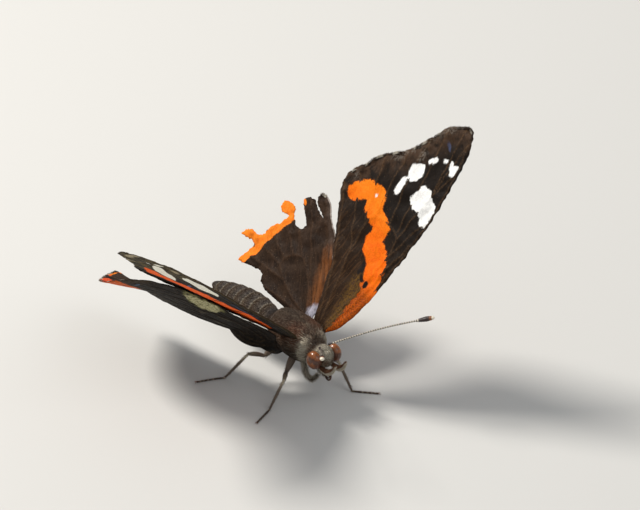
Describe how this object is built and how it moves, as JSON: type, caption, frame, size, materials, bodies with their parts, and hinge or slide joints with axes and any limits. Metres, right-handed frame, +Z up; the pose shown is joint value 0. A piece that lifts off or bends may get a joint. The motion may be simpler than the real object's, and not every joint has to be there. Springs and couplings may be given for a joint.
{
  "type": "red admiral butterfly",
  "caption": "Still life-size butterfly with raised black, orange and white wings, one hindwing torn, standing on slender legs with clubbed feelers.",
  "frame": {"origin": "on the floor, under the middle of the whole butterfly's box", "axes": "+Z up, head towards -Y, the butterfly's left side towards +X"},
  "size_m": [0.0428, 0.0338, 0.0323],
  "materials": {
    "wing_scales": "fine dusty scales, black-brown with orange bands and white spots",
    "body_fur": "grey-brown hair over dark scales",
    "eye": "glossy brown compound eye",
    "dark_horn": "satin dark shell with pale rings",
    "palp_scales": "close brown and cream scales"
  },
  "bodies": {
    "root": {"thorax": "body_fur", "head": "body_fur", "abdomen": "body_fur", "eye_left": "eye", "eye_right": "eye", "palp_left": "palp_scales", "palp_right": "palp_scales", "proboscis": "dark_horn", "antenna_left": "dark_horn", "antenna_right": "dark_horn", "foreleg_left": "dark_horn", "foreleg_right": "dark_horn", "leg_mid_left": "dark_horn", "leg_mid_right": "dark_horn", "leg_hind_left": "dark_horn", "leg_hind_right": "dark_horn", "forewing_left": "wing_scales", "forewing_right": "wing_scales", "hindwing_left": "wing_scales", "hindwing_right": "wing_scales"}
  },
  "joints": []
}
